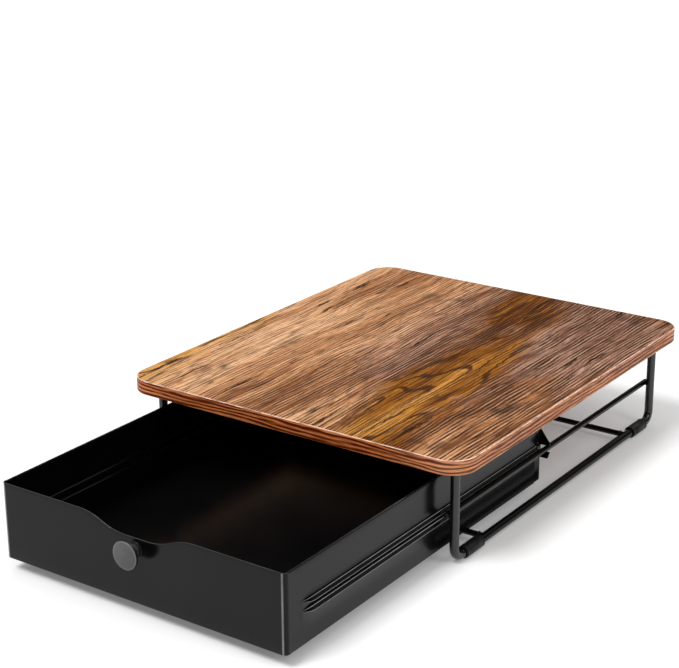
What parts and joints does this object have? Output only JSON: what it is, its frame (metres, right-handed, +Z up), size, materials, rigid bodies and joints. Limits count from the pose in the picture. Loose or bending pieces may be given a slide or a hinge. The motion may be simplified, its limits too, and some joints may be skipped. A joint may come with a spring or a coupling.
{
  "type": "coffee pod drawer",
  "caption": "Wooden shelf board on a bent round-rod frame, with a sheet steel drawer that slides out to the front on two side rails and has a finger scoop and a round knob.",
  "frame": {"origin": "on the table, under the middle of the whole object's bounding box at rest, with the drawer pulled out by 177 mm", "axes": "+X to the right seen from the front, +Y to the rear, +Z up; the drawer opens towards -Y"},
  "size_m": [0.33, 0.579, 0.097],
  "materials": {
    "wood_top": "satin laminate, rustic brown with dark streaks",
    "wood_edge": "satin edge band, red brown",
    "black_rod": "satin black powder coat",
    "black_sheet": "satin black powder coat",
    "black_knob": "satin black",
    "black_rubber": "matt",
    "bright_steel": "plain zinc plated"
  },
  "bodies": {
    "stand": {"top_board": "wood_top", "edge_band": "wood_edge", "front_leg_left": "black_rod", "front_leg_right": "black_rod", "rear_leg_left": "black_rod", "rear_leg_right": "black_rod", "front_leg_plate_left": "black_rod", "front_leg_plate_right": "black_rod", "rear_leg_plate_left": "black_rod", "rear_leg_plate_right": "black_rod", "board_screws": "bright_steel", "floor_bar_left": "black_rod", "floor_bar_right": "black_rod", "front_cross_bar": "black_rod", "rear_cross_bar": "black_rod", "front_sleeve_left": "black_rubber", "front_sleeve_right": "black_rubber", "rear_sleeve_left": "black_rubber", "rear_sleeve_right": "black_rubber", "guide_rail_left": "black_rod", "guide_rail_right": "black_rod"},
    "drawer": {"drawer_shell": "black_sheet", "drawer_floor": "black_sheet", "drawer_back": "black_sheet", "guide_bracket_left": "black_sheet", "guide_bracket_right": "black_sheet", "bracket_rivets": "bright_steel", "knob_head": "black_knob", "knob_base": "black_knob", "knob_screw": "bright_steel"}
  },
  "joints": [
    {"name": "drawer_slide", "type": "slide", "parent": "stand", "child": "drawer", "axis": [0, -1, 0], "range_m": [-0.177, 0.151]}
  ]
}
